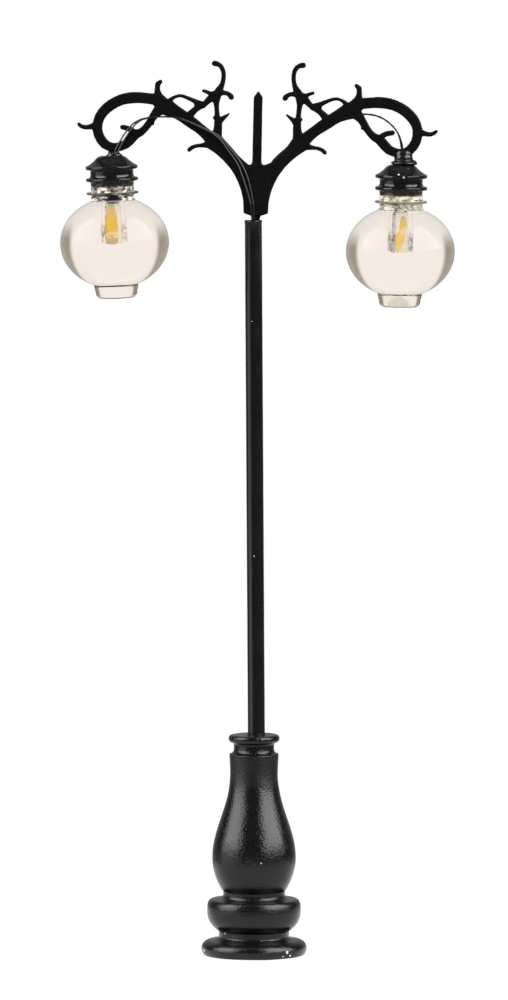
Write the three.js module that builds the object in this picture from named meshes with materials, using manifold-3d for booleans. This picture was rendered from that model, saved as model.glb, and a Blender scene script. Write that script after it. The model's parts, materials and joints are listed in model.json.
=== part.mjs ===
// A model-railway street lamp: two clear globes hung from a scrolled bracket on a thin post.
// Millimetres, +Z up. The origin is the centre of the foot's underside, and the front faces -Y.
import * as THREE from "three";
import { mergeVertices } from "three/addons/utils/BufferGeometryUtils.js";
import Module from "manifold-3d";

const wasm = await Module();
wasm.setup();

// Base
const BASE_HEIGHT = 24.2;
const FOOT_FLAT_RADIUS = 5.5;
const CHANNEL_RADIUS = 0.7;
const RECESS_RADIUS = 2.2;
const RECESS_DEPTH = 0.8;
const FIT_GAP = 0.04;

// Pole: a tube that stands a little off the base's centre and leans a little to the left
const POLE_FOOT = [0.32, 0, 14.2];
const POLE_LEAN = THREE.MathUtils.degToRad(-0.34);
const POLE_LENGTH = 66.4;
const POLE_RADIUS = 0.935;
const POLE_BORE_RADIUS = 0.68;

// Bracket: a flat plate, drawn in its own plane with x out along the right arm and y up
const BRACKET_BOTTOM = 81.35;
const BRACKET_OFFSET = 0.19;
const BRACKET_LEAN = THREE.MathUtils.degToRad(1.2);
const PLATE_THICKNESS = 0.8;
const TAB_WIDTH = 0.94;
const TAB_END_WIDTH = 0.8;
const TAB_THICKNESS = 0.5;
const TAB_END = -4;
const HUB_DROP = { left: 0, right: 0.3 };
const SPIKE_WIDTH = 0.93;
const SPIKE_SHOULDER = 12.7;
const SPIKE_TIP = 13.3;

// Lamps: heights are above the globe's centre, along the lamp's own axis
const GLOBE_RADIUS = 5.93;
const GLOBE_HALF_HEIGHT = 5.0;
const STUB_RADIUS = 2.45;
const STUB_BOTTOM = -6.05;
const NECK_RADIUS = 2.35;
const RING_RADIUS = 2.84;
const RING_HEIGHTS = [8.2, 6.9, 5.42];
const RING_HALF_HEIGHT = 0.18;
const RING_EDGE_HALF_HEIGHT = 0.1;
const CAP_BOTTOM = 6.14;
const CAP_INNER_RADIUS = 2.22;
const CAP_CEILING = 8.1;
const CAP_TOP = 9.47;
const CAP_TOP_RADIUS = 1.2;
const BORE_RADIUS = 0.95;
const BORE_TIP = -1;
const LAMPS = [
  { side: "left", centre: [-15.21, 0, 78.17], tilt: THREE.MathUtils.degToRad(-2.2) },
  { side: "right", centre: [15.96, 0, 77.18], tilt: THREE.MathUtils.degToRad(0.7) },
];

// Light-emitting diode: a package that stands in the bore, facing the front
const LED_WIDTH = 1.4;
const LED_DEPTH = 0.7;
const LED_BOTTOM = 0.08;
const LED_TOP = 2.95;
const LED_WALL = 0.22;
const POCKET_DEPTH = 0.3;
const TERMINAL_WIDTH = 0.55;
const TERMINAL_THICKNESS = 0.08;
const TERMINAL_HEIGHT = 0.5;
const TERMINAL_X = 0.33;
const TERMINAL_OVERHANG = 0.15;
const SEAL_BOTTOM = 4.7;
const SEAL_TOP = 7.9;

// Leads of enamelled wire, two to a lamp
const LEAD_RADIUS = 0.1;
const LEAD_GAP = 0.03;
const LEAD_SIDES = 6;
const LEAD_STEP = 0.9;
const LEAD_IN_POLE_X = 0.13;
const LEAD_IN_POLE_Y = 0.38;
const LEAD_END = -13;
const LEAD_TURN = 62;
const FACE_Y = PLATE_THICKNESS / 2 + LEAD_GAP + LEAD_RADIUS;

const ROUND_SEGMENTS = 24;
const SMALL_SEGMENTS = 12;
const STROKE_END_STEPS = 4;
const SHORTEST_STROKE_STEP = 0.3;
const STEP_PER_WIDTH = 0.38;
const MERGE_DISTANCE = 1e-4;

const MATERIALS = {
  satin_black: { color: 0x141414, roughness: 0.42, metalness: 0 },
  matt_black: { color: 0x131313, roughness: 0.62, metalness: 0 },
  gloss_black: { color: 0x0c0c0b, roughness: 0.18, metalness: 0 },
  clear: { color: 0xf6f0e8, roughness: 0.03, metalness: 0, transparent: true, opacity: 0.35 },
  ceramic_white: { color: 0xf1efe9, roughness: 0.5, metalness: 0 },
  phosphor: { color: 0xf0b534, roughness: 0.4, metalness: 0 },
  brass: { color: 0xc9a44a, roughness: 0.35, metalness: 1 },
  solder: { color: 0xb9bbbd, roughness: 0.3, metalness: 1 },
  enamel: { color: 0x241d18, roughness: 0.3, metalness: 0 },
  glue: { color: 0x1e1712, roughness: 0.25, metalness: 0 },
};

// A geometry as a manifold-3d solid, for joining and cutting.
function solidOf(geometry) {
  const plain = geometry.index ? geometry.toNonIndexed() : geometry;
  const bare = new THREE.BufferGeometry().setAttribute("position", plain.getAttribute("position"));
  const merged = mergeVertices(bare, MERGE_DISTANCE);
  return new wasm.Manifold(
    new wasm.Mesh({
      numProp: 3,
      vertProperties: merged.attributes.position.array,
      triVerts: new Uint32Array(merged.index.array),
    }),
  );
}

function geometryOf(solid) {
  const { vertProperties, triVerts } = solid.getMesh();
  const indexed = new THREE.BufferGeometry()
    .setAttribute("position", new THREE.BufferAttribute(vertProperties, 3))
    .setIndex(new THREE.BufferAttribute(triVerts, 1));
  const geometry = indexed.toNonIndexed();
  geometry.computeVertexNormals();
  return geometry;
}

const join = (geometries) =>
  geometryOf(geometries.map(solidOf).reduce((whole, piece) => whole.add(piece)));

const cut = (geometry, cutters) =>
  geometryOf(cutters.map(solidOf).reduce((rest, cutter) => rest.subtract(cutter), solidOf(geometry)));

// A body of revolution about Z from a path of radius and height that is closed or ends on the axis.
function turned(path, divisions, segments = ROUND_SEGMENTS) {
  return new THREE.LatheGeometry(path.getPoints(divisions), segments).rotateX(Math.PI / 2);
}

function box(width, depth, height, x, y, z) {
  return new THREE.BoxGeometry(width, depth, height).translate(x, y, z);
}

function mesh(name, geometry, material) {
  const made = new THREE.Mesh(geometry, new THREE.MeshStandardMaterial(MATERIALS[material]));
  made.name = name;
  return made;
}

// ---- Base ----

const poleGroup = new THREE.Group();
poleGroup.position.set(...POLE_FOOT);
poleGroup.rotation.y = POLE_LEAN;
poleGroup.updateMatrixWorld(true);

// A round hole on the pole's axis, from one height in the pole's frame to another.
function poleHole(radius, from, to) {
  return new THREE.CylinderGeometry(radius, radius, to - from, ROUND_SEGMENTS)
    .rotateX(Math.PI / 2)
    .translate(0, 0, (from + to) / 2)
    .applyMatrix4(poleGroup.matrixWorld);
}

function makeBase() {
  const path = new THREE.Path();
  path.moveTo(0, RECESS_DEPTH);
  path.lineTo(RECESS_RADIUS, RECESS_DEPTH);
  path.lineTo(RECESS_RADIUS, 0);
  path.lineTo(FOOT_FLAT_RADIUS, 0);
  path.bezierCurveTo(5.9, 0.5, 5.98, 1.35, 5.0, 1.6); // foot edge
  path.quadraticCurveTo(3.95, 1.65, 3.86, 2.0);
  path.lineTo(3.86, 2.6);
  path.bezierCurveTo(4.6, 3.1, 5.1, 3.6, 5.14, 4.85); // drum
  path.bezierCurveTo(5.14, 5.3, 5.15, 6.1, 4.6, 6.1);
  path.lineTo(3.7, 6.16);
  path.quadraticCurveTo(3.39, 6.25, 3.39, 6.6);
  path.lineTo(3.39, 6.95);
  path.bezierCurveTo(4.1, 7.95, 4.57, 9.3, 4.57, 10.8); // baluster
  path.bezierCurveTo(4.57, 13.9, 2.5, 16.4, 2.61, 20.4);
  path.lineTo(2.7, 22.08);
  path.quadraticCurveTo(2.24, 22.2, 2.2, 22.6);
  path.lineTo(2.2, 23.05);
  path.quadraticCurveTo(2.2, 23.3, 2.45, 23.36); // collar
  path.bezierCurveTo(2.9, 23.45, 2.9, BASE_HEIGHT, 2.45, BASE_HEIGHT);
  path.lineTo(0, BASE_HEIGHT);
  const socket = poleHole(POLE_RADIUS + FIT_GAP, 0, BASE_HEIGHT);
  const channel = poleHole(CHANNEL_RADIUS, -POLE_FOOT[2], 1);
  return mesh("base", cut(turned(path, 4), [socket, channel]), "satin_black");
}

function makePole() {
  const path = new THREE.Path();
  path.moveTo(POLE_BORE_RADIUS, FIT_GAP);
  path.lineTo(POLE_RADIUS, FIT_GAP);
  path.lineTo(POLE_RADIUS, POLE_LENGTH);
  path.lineTo(POLE_BORE_RADIUS, POLE_LENGTH);
  path.closePath();
  return mesh("pole", turned(path, 1), "satin_black");
}

// ---- Bracket ----

// Each stroke of the right arm is a smooth run through stations of [x, y, width].
const ARM_STROKES = {
  arm: [
    [4.3, 7.4, 1.7], [4.9, 7.9, 1.4], [6.2, 9.05, 1.1], [7.4, 9.9, 1.25], [8.6, 10.7, 1.25],
    [10.0, 11.4, 1.8],
  ],
  scroll: [
    [10.0, 11.6, 1.2], [10.8, 12.1, 1.15], [12.2, 12.3, 1.1], [13.6, 12.35, 1.15], [15.0, 12.05, 1.1],
    [16.4, 11.2, 1.1], [17.25, 10.1, 1.05], [17.45, 8.9, 1.0], [17.1, 7.8, 1.0], [16.3, 7.0, 0.95],
    [15.4, 6.85, 0.9],
  ],
  inner_branch: [
    [10.6, 11.2, 1.3], [11.2, 10.6, 0.9], [11.6, 9.95, 0.76], [12.1, 9.2, 0.7], [12.7, 8.6, 0.78],
    [13.3, 8.3, 0.95], [13.8, 7.8, 1.05], [14.4, 7.2, 0.95], [15.4, 6.85, 0.9],
  ],
  leaf: [[13.3, 8.4, 0.75], [13.8, 8.85, 0.5], [14.2, 9.0, 0.48], [14.75, 9.1, 0.44]],
  knot: [[11.5, 9.6, 0.5], [11.37, 9.5, 0.22]],
  spur: [[17.5, 9.2, 0.95], [18.1, 9.1, 0.55], [18.6, 9.0, 0.4], [19.1, 9.05, 0.38], [19.5, 9.35, 0.28]],
  upright: [
    [10.7, 12.0, 1.7], [10.95, 12.8, 0.72], [11.0, 13.5, 0.5], [10.95, 13.95, 0.52], [10.65, 14.15, 0.36],
  ],
  upright_foot: [[10.2, 11.6, 1.2], [10.65, 12.3, 0.8], [10.9, 13.0, 0.5]],
  top_link: [
    [6.0, 11.7, 0.7], [6.7, 12.0, 0.48], [7.6, 12.4, 0.32], [8.5, 12.68, 0.26], [9.2, 12.45, 0.3],
    [9.9, 11.8, 0.7],
  ],
  strut: [
    [4.7, 12.6, 0.9], [5.15, 12.5, 0.8], [5.6, 12.0, 0.56], [6.1, 11.6, 0.5], [6.8, 11.2, 0.6],
    [7.4, 10.6, 0.75],
  ],
  strut_web: [[5.95, 11.75, 0.4], [6.3, 11.68, 0.6], [6.6, 11.7, 0.7]],
  stem: [
    [4.6, 7.9, 1.5], [4.35, 8.9, 0.9], [4.3, 9.7, 0.8], [4.42, 10.5, 0.52], [4.48, 11.3, 0.46],
    [4.55, 12.0, 0.6], [4.62, 12.5, 1.0], [4.35, 13.2, 0.75], [4.03, 13.8, 0.5],
  ],
  top_curl: [
    [4.3, 13.3, 0.8], [3.98, 13.9, 0.5], [3.83, 14.6, 0.42], [3.83, 15.25, 0.42], [4.0, 15.8, 0.44],
    [4.35, 16.15, 0.44], [4.85, 16.25, 0.54],
  ],
  stem_knot: [[4.55, 10.3, 0.6], [4.78, 10.35, 0.24]],
  stem_thorn: [[4.35, 9.8, 0.8], [3.8, 10.3, 0.45], [3.5, 10.5, 0.28], [3.1, 10.85, 0.08]],
  small_curl: [[4.3, 13.1, 0.75], [3.7, 13.08, 0.42], [3.2, 12.95, 0.42], [2.93, 12.62, 0.56]],
  outer_thorn: [[4.6, 12.9, 0.8], [5.2, 12.95, 0.38], [5.65, 13.15, 0.3], [6.0, 13.25, 0.26]],
  lower_thorn: [
    [4.9, 7.6, 1.3], [5.6, 7.35, 0.6], [6.1, 7.28, 0.36], [6.65, 7.22, 0.33], [7.1, 7.05, 0.36],
    [7.4, 6.78, 0.4],
  ],
};

// A wide stroke bends gently, so it needs fewer points along it than a narrow one.
function strokeStep(stations) {
  const widths = stations.map(([, , width]) => width);
  const mean = widths.reduce((sum, width) => sum + width) / widths.length;
  return SHORTEST_STROKE_STEP + STEP_PER_WIDTH * mean;
}

// The outline of one stroke, with round ends. Its width grows by twice the margin.
function strokeOutline(stations, margin) {
  const centre = new THREE.CatmullRomCurve3(
    stations.map(([x, y, width]) => new THREE.Vector3(x, y, width / 2 + margin)),
    false,
    "centripetal",
  );
  const count = Math.ceil(centre.getLength() / strokeStep(stations)) + 1;
  const stops = Array.from({ length: count + 1 }, (_, i) => {
    const point = centre.getPointAt(i / count);
    const along = centre.getTangentAt(i / count);
    return { point, heading: Math.atan2(along.y, along.x) };
  });
  const edge = ({ point, heading }, turn) =>
    new THREE.Vector2(
      point.x + point.z * Math.cos(heading + turn),
      point.y + point.z * Math.sin(heading + turn),
    );
  const roundEnd = (stop, from) =>
    Array.from({ length: STROKE_END_STEPS - 1 }, (_, i) =>
      edge(stop, from - ((i + 1) / STROKE_END_STEPS) * Math.PI),
    );
  const quarter = Math.PI / 2;
  return [
    ...stops.map((stop) => edge(stop, quarter)),
    ...roundEnd(stops.at(-1), quarter),
    ...stops.toReversed().map((stop) => edge(stop, -quarter)),
    ...roundEnd(stops[0], -quarter),
  ];
}

// Half of the hub: the block over the pole and the root of an arm. The drop lowers its upper edge.
function hubOutline(drop) {
  const path = new THREE.Path();
  path.moveTo(0, -0.2);
  path.lineTo(0.6, -0.2);
  path.lineTo(1.3, 0.03);
  path.lineTo(1.3, 0.3);
  path.bezierCurveTo(1.3, 3.2, 2.9, 5.6, 5.3, 7.0);
  path.lineTo(5.5, 7.9);
  path.lineTo(3.95, 8.3);
  path.bezierCurveTo(3.0 + drop, 7.5 - drop / 2, 2.0 + drop, 5.95 - drop, 0.85, 5.25);
  path.quadraticCurveTo(0.42, 5.2, SPIKE_WIDTH / 2, 5.9);
  path.lineTo(0, 5.9);
  return path.getPoints(8);
}

function spikeOutline() {
  const half = SPIKE_WIDTH / 2;
  return [
    new THREE.Vector2(-half, 5),
    new THREE.Vector2(half, 5),
    new THREE.Vector2(half - 0.02, SPIKE_SHOULDER),
    new THREE.Vector2(0.02, SPIKE_TIP),
    new THREE.Vector2(0.02 - half, SPIKE_SHOULDER),
  ];
}

function tabOutline() {
  const half = TAB_WIDTH / 2;
  const endHalf = TAB_END_WIDTH / 2;
  return [
    new THREE.Vector2(-endHalf, TAB_END),
    new THREE.Vector2(endHalf, TAB_END),
    new THREE.Vector2(endHalf, -0.7),
    new THREE.Vector2(half, -0.5),
    new THREE.Vector2(half, 0.5),
    new THREE.Vector2(-half, 0.5),
    new THREE.Vector2(-half, -0.5),
    new THREE.Vector2(-endHalf, -0.7),
  ];
}

// A flat outline as a plate in the XZ plane, centred on Y.
function plate(outline, thickness) {
  const options = { depth: thickness, bevelEnabled: false };
  return new THREE.ExtrudeGeometry(new THREE.Shape(outline), options)
    .rotateX(Math.PI / 2)
    .translate(0, thickness / 2, 0);
}

const mirrored = (outline) => outline.map(({ x, y }) => new THREE.Vector2(-x, y));

// The whole bracket. A margin makes the oversized copy that clears a place for it in its neighbours.
function bracketGeometry(margin) {
  const arm = Object.values(ARM_STROKES).map((stations) => strokeOutline(stations, margin));
  const right = [hubOutline(HUB_DROP.right), ...arm];
  const left = [hubOutline(HUB_DROP.left), ...arm];
  const outlines = [...right, ...left.map(mirrored), spikeOutline()];
  const plates = outlines.map((outline) => plate(outline, PLATE_THICKNESS + 2 * margin));
  return join([...plates, plate(tabOutline(), TAB_THICKNESS)]);
}

const bracketGroup = new THREE.Group();
bracketGroup.position.set(BRACKET_OFFSET, 0, BRACKET_BOTTOM);
bracketGroup.rotation.y = BRACKET_LEAN;
bracketGroup.updateMatrixWorld(true);

// ---- Leads ----

const inPole = (x, y, z) => new THREE.Vector3(x, y, z).applyMatrix4(poleGroup.matrixWorld);

function onBracket([x, up, layer], face) {
  const depth = FACE_Y + layer * (2 * LEAD_RADIUS + LEAD_GAP);
  return new THREE.Vector3(x, face * depth, up).applyMatrix4(bracketGroup.matrixWorld);
}

// Each lamp's pair of leads runs over one face of the plate, from the pole out to the lamp. A station is
// [x, y up, layer] in the bracket's plane, where layer 0 lies on the face and layer 1 on top of layer 0.
const LEAD_ROUTES = {
  left: {
    positive: [
      [-0.25, 0.9, 0], [-0.55, 2.3, 0], [-1.0, 4.0, 0], [-1.8, 5.6, 0], [-3.0, 7.1, 0], [-3.7, 7.95, 0],
      [-4.5, 8.6, 0], [-6.2, 9.35, 0], [-7.8, 10.0, 0], [-8.9, 10.32, 0], [-10.9, 10.32, 0],
      [-12.3, 10.15, 0], [-13.3, 9.75, 0], [-14.2, 8.8, 0], [-15.0, 7.5, 0], [-15.4, 6.7, 0],
    ],
    negative: [
      [-0.55, 0.9, 0], [-0.95, 2.3, 0], [-1.5, 3.9, 0], [-2.15, 5.45, 0], [-3.25, 6.95, 0.2],
      [-3.9, 7.85, 0.7], [-4.6, 8.5, 1], [-6.2, 9.3, 1], [-7.8, 9.95, 1], [-8.9, 10.3, 1],
      [-10.9, 10.34, 1], [-12.2, 10.15, 1], [-13.1, 9.7, 0.9], [-13.95, 8.65, 0.5], [-14.7, 7.35, 0.1],
      [-15.05, 6.7, 0],
    ],
  },
  right: {
    positive: [
      [0.22, 0.9, 0], [0.55, 2.4, 0], [1.0, 4.2, 0], [1.6, 5.55, 0], [2.27, 6.33, 0], [2.95, 6.95, 0],
      [3.65, 7.55, 0], [5.0, 8.7, 0], [6.6, 9.7, 0], [8.6, 10.6, 0], [10.2, 11.0, 0], [11.5, 11.05, 0],
      [12.5, 11.0, 0], [13.4, 10.75, 0], [14.3, 10.2, 0], [14.95, 9.6, 0], [15.4, 8.9, 0], [15.6, 8.2, 0],
      [15.75, 7.3, 0],
    ],
    negative: [
      [0.5, 0.9, 0.1], [0.85, 2.4, 0.2], [1.25, 4.1, 0.5], [1.7, 5.5, 0.8], [2.3, 6.3, 1], [3.0, 6.9, 1],
      [3.7, 7.5, 1], [5.05, 8.65, 1], [6.65, 9.65, 1], [8.6, 10.55, 1], [10.2, 10.95, 1],
      [11.5, 11.02, 1], [12.5, 10.97, 1], [13.4, 10.72, 1], [14.3, 10.17, 1], [14.95, 9.57, 1],
      [15.42, 8.9, 1], [15.68, 8.2, 1], [15.9, 7.3, 0.9],
    ],
  },
};

// The two wires of a lamp: the side of the package that each runs down, and the height where it ends
const WIRES = [
  { polarity: "positive", sign: -1, end: LED_TOP - TERMINAL_HEIGHT },
  { polarity: "negative", sign: 1, end: LED_BOTTOM + TERMINAL_OVERHANG },
];

function lampMatrix({ centre, tilt }) {
  return new THREE.Matrix4().makeRotationY(tilt).setPosition(...centre);
}

// The back of the package, where the wires lie against the terminals.
const WIRE_Y = LED_DEPTH / 2 + 2 * LEAD_GAP + TERMINAL_THICKNESS + LEAD_RADIUS;

// The curve of one lead from inside the pole's top to its terminal.
function leadCurve(lamp, { polarity, sign, end }) {
  const isLeft = lamp.side === "left";
  const face = isLeft ? -1 : 1;
  const poleX = (isLeft ? -sign : sign) * LEAD_IN_POLE_X;
  const poleY = face * LEAD_IN_POLE_Y;
  const entry = isLeft ? 0.4 : 0;
  const inLamp = [
    [entry + sign * 0.14, face * 0.5, CAP_CEILING + 0.8],
    [entry / 2 + sign * 0.16, face * 0.45, CAP_CEILING - 0.2],
    [sign * 0.25, face * 0.2 + 0.1, 6.3],
    [sign * TERMINAL_X, WIRE_Y - 0.1, 4.6],
    [sign * TERMINAL_X, WIRE_Y, 3.4],
    [sign * TERMINAL_X, WIRE_Y, end],
  ].map((place) => new THREE.Vector3(...place).applyMatrix4(lampMatrix(lamp)));
  return new THREE.CatmullRomCurve3(
    [
      inPole(poleX, poleY, LEAD_TURN),
      inPole(poleX, poleY, (LEAD_TURN + POLE_LENGTH) / 2),
      inPole(poleX, poleY, POLE_LENGTH - 0.3),
      ...LEAD_ROUTES[lamp.side][polarity].map((station) => onBracket(station, face)),
      ...inLamp,
    ],
    false,
    "centripetal",
  );
}

function wire(curve, radius) {
  const circle = new THREE.Path().absarc(0, 0, radius, 0, 2 * Math.PI);
  const section = new THREE.Shape(circle.getPoints(LEAD_SIDES / 2));
  return new THREE.ExtrudeGeometry(section, {
    steps: Math.ceil(curve.getLength() / LEAD_STEP),
    extrudePath: curve,
    curveSegments: 1,
  });
}

// The straight run of a lead down the pole and through the base, ending where its curve begins.
function wireDown(curve) {
  const start = curve.getPoint(0).applyMatrix4(poleGroup.matrixWorld.clone().invert());
  const length = LEAD_TURN + LEAD_STEP / 2 - LEAD_END;
  return new THREE.CylinderGeometry(LEAD_RADIUS, LEAD_RADIUS, length, LEAD_SIDES)
    .rotateX(Math.PI / 2)
    .translate(start.x, start.y, LEAD_END + length / 2)
    .applyMatrix4(poleGroup.matrixWorld);
}

// ---- Lamps ----

function addRing(path, height) {
  path.lineTo(NECK_RADIUS, height - RING_HALF_HEIGHT);
  path.lineTo(RING_RADIUS, height - RING_EDGE_HALF_HEIGHT);
  path.lineTo(RING_RADIUS, height + RING_EDGE_HALF_HEIGHT);
  path.lineTo(NECK_RADIUS, height + RING_HALF_HEIGHT);
}

// The clear moulding: stub, globe and neck, with the blind bore for the diode.
function globeGeometry() {
  const neck = CAP_INNER_RADIUS - FIT_GAP;
  const path = new THREE.Path();
  path.moveTo(0, STUB_BOTTOM);
  path.lineTo(1.7, STUB_BOTTOM);
  path.quadraticCurveTo(2.2, STUB_BOTTOM, 2.25, STUB_BOTTOM + 0.6);
  const rim = (radius) => Math.acos(radius / GLOBE_RADIUS);
  path.absellipse(0, 0, GLOBE_RADIUS, GLOBE_HALF_HEIGHT, -rim(STUB_RADIUS), rim(NECK_RADIUS), false);
  addRing(path, RING_HEIGHTS[2]);
  path.lineTo(NECK_RADIUS, CAP_BOTTOM - FIT_GAP);
  path.lineTo(neck, CAP_BOTTOM - FIT_GAP);
  path.lineTo(neck, CAP_CEILING - FIT_GAP);
  path.lineTo(BORE_RADIUS, CAP_CEILING - FIT_GAP);
  path.lineTo(BORE_RADIUS, 0);
  path.lineTo(0, BORE_TIP);
  return turned(path, 6);
}

function capGeometry() {
  const path = new THREE.Path();
  path.moveTo(CAP_INNER_RADIUS, CAP_BOTTOM);
  path.lineTo(NECK_RADIUS, CAP_BOTTOM);
  addRing(path, RING_HEIGHTS[1]);
  path.lineTo(NECK_RADIUS, RING_HEIGHTS[0] - RING_HALF_HEIGHT);
  path.lineTo(RING_RADIUS, RING_HEIGHTS[0] - RING_EDGE_HALF_HEIGHT);
  path.lineTo(RING_RADIUS, RING_HEIGHTS[0] + RING_EDGE_HALF_HEIGHT);
  path.quadraticCurveTo(2.3, 8.55, 1.75, 9.14); // roof
  path.quadraticCurveTo(1.55, 9.4, CAP_TOP_RADIUS, CAP_TOP);
  path.lineTo(0, CAP_TOP);
  path.lineTo(0, CAP_CEILING);
  path.lineTo(CAP_INNER_RADIUS, CAP_CEILING);
  path.closePath();
  return turned(path, 4);
}

function sealGeometry() {
  const radius = BORE_RADIUS - FIT_GAP;
  const path = new THREE.Path();
  path.moveTo(0, SEAL_BOTTOM);
  path.quadraticCurveTo(radius, SEAL_BOTTOM, radius, SEAL_BOTTOM + 0.7);
  path.lineTo(radius, SEAL_TOP);
  path.lineTo(0, SEAL_TOP);
  return turned(path, 3, SMALL_SEGMENTS);
}

// The blob that hangs a cap from its scroll, from heights and radii above the cap's top.
const HANGERS = {
  left: { x: 0.32, depth: 0.6, outline: [[0.95, 0.04], [0.7, 0.3], [0.72, 0.5], [0.6, 0.7], [0, 0.75]] },
  right: {
    x: 0.15,
    depth: 1,
    outline: [[1.35, 0.04], [1.35, 0.45], [1.08, 0.6], [1.12, 1.2], [0.95, 1.6], [0, 1.75]],
  },
};

function hangerGeometry(side) {
  const { x, depth, outline } = HANGERS[side];
  const path = new THREE.Path();
  path.moveTo(0, CAP_TOP + outline[0][1]);
  outline.forEach(([radius, height]) => path.lineTo(radius, CAP_TOP + height));
  return turned(path, 1, SMALL_SEGMENTS).scale(1, depth, 1).translate(x, 0, 0);
}

function ledBodyGeometry() {
  const height = LED_TOP - LED_BOTTOM;
  const middle = (LED_TOP + LED_BOTTOM) / 2;
  const pocket = box(
    LED_WIDTH - 2 * LED_WALL, 2 * POCKET_DEPTH, height - 2 * LED_WALL, 0, -LED_DEPTH / 2, middle,
  );
  return cut(box(LED_WIDTH, LED_DEPTH, height, 0, 0, middle), [pocket]);
}

function phosphorGeometry() {
  const height = LED_TOP - LED_BOTTOM - 2 * LED_WALL - FIT_GAP;
  const depth = POCKET_DEPTH - FIT_GAP;
  return box(
    LED_WIDTH - 2 * LED_WALL - FIT_GAP, depth, height,
    0, -LED_DEPTH / 2 + depth / 2, (LED_TOP + LED_BOTTOM) / 2,
  );
}

function terminalGeometry({ sign, end }) {
  return box(
    TERMINAL_WIDTH, TERMINAL_THICKNESS, TERMINAL_HEIGHT,
    sign * TERMINAL_X, LED_DEPTH / 2 + LEAD_GAP + TERMINAL_THICKNESS / 2,
    end - TERMINAL_OVERHANG + TERMINAL_HEIGHT / 2,
  );
}

function solderGeometry({ sign, end }) {
  return new THREE.SphereGeometry(1, 8, 6)
    .scale(0.22, 0.17, 0.3)
    .translate(sign * TERMINAL_X, WIRE_Y + 0.02, end + 0.1);
}

// One lamp's pieces, in the lamp's own frame, and its two leads in the part's frame.
function makeLamp(lamp) {
  const { side } = lamp;
  const toLamp = lampMatrix(lamp).invert();
  const curves = WIRES.map((wireEnd) => leadCurve(lamp, wireEnd));
  const channels = curves.map((curve) => wire(curve, LEAD_RADIUS + LEAD_GAP).applyMatrix4(toLamp));
  const toScroll = toLamp.clone().multiply(bracketGroup.matrixWorld);
  const scroll = bracketGeometry(FIT_GAP).applyMatrix4(toScroll);

  const group = new THREE.Group();
  group.position.set(...lamp.centre);
  group.rotation.y = lamp.tilt;
  group.add(
    mesh(`globe_${side}`, globeGeometry(), "clear"),
    mesh(`cap_${side}`, cut(capGeometry(), channels), "gloss_black"),
    mesh(`hanger_${side}`, cut(hangerGeometry(side), [...channels, scroll]), "gloss_black"),
    mesh(`neck_seal_${side}`, cut(sealGeometry(), channels), "glue"),
    mesh(`led_body_${side}`, ledBodyGeometry(), "ceramic_white"),
    mesh(`led_phosphor_${side}`, phosphorGeometry(), "phosphor"),
  );
  WIRES.forEach((wireEnd) => {
    const place = `${side}_${wireEnd.polarity}`;
    group.add(
      mesh(`terminal_${place}`, terminalGeometry(wireEnd), "brass"),
      mesh(`solder_${place}`, cut(solderGeometry(wireEnd), channels), "solder"),
    );
  });
  const leads = WIRES.map(({ polarity }, i) =>
    mesh(`lead_${side}_${polarity}`, join([wire(curves[i], LEAD_RADIUS), wireDown(curves[i])]), "enamel"),
  );
  return [group, ...leads];
}

const lampPost = new THREE.Group();
poleGroup.add(makePole());
bracketGroup.add(mesh("bracket", bracketGeometry(0), "matt_black"));
lampPost.add(makeBase(), poleGroup, bracketGroup, ...LAMPS.flatMap(makeLamp));

export default lampPost;
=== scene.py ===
"""Looks for the model street lamp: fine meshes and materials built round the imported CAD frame.

Shapes are drawn in millimetres in the row's own frame (+Z up, front -Y) and stored in metres.
"""

import json
import math

import bpy
from mathutils import Matrix, Vector, noise

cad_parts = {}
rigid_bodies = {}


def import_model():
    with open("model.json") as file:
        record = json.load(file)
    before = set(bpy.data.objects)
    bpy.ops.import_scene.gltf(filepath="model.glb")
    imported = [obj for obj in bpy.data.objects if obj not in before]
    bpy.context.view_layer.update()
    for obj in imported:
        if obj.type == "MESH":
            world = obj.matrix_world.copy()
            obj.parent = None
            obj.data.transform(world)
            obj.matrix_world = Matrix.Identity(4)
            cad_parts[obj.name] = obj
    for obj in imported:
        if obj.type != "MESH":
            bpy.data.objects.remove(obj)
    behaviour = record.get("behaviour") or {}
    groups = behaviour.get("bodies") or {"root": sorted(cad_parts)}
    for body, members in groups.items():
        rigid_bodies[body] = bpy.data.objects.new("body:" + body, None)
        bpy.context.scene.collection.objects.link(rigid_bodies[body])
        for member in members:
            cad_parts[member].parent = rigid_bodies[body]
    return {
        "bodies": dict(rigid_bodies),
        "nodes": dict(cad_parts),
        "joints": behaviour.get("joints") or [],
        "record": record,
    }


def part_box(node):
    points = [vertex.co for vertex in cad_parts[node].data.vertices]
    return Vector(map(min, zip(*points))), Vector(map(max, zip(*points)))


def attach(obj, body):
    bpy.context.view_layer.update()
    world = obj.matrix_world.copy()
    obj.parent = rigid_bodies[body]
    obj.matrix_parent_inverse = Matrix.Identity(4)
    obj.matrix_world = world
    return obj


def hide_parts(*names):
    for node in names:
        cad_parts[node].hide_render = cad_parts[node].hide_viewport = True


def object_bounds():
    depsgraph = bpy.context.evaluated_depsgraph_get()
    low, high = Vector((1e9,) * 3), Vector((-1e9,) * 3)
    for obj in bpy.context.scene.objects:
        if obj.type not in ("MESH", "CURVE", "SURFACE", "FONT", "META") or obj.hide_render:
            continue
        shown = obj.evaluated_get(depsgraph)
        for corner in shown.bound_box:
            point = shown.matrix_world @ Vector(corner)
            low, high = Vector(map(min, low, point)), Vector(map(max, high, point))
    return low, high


MM = 0.001
ROUND_SEGMENTS = 128
TUBE_SEGMENTS = 48
LOFT_SEGMENTS = 32
BALL_SEGMENTS = 24

# Camera: far away, so that the view is nearly flat. The frame's height is measured at the lamp.
CAMERA_DISTANCE = 1200.0
CAMERA_ELEVATION = math.radians(4.8)
FRAME_HEIGHT = 109.29
AIM_HEIGHT = 49.98
SENSOR = 36.0

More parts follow.
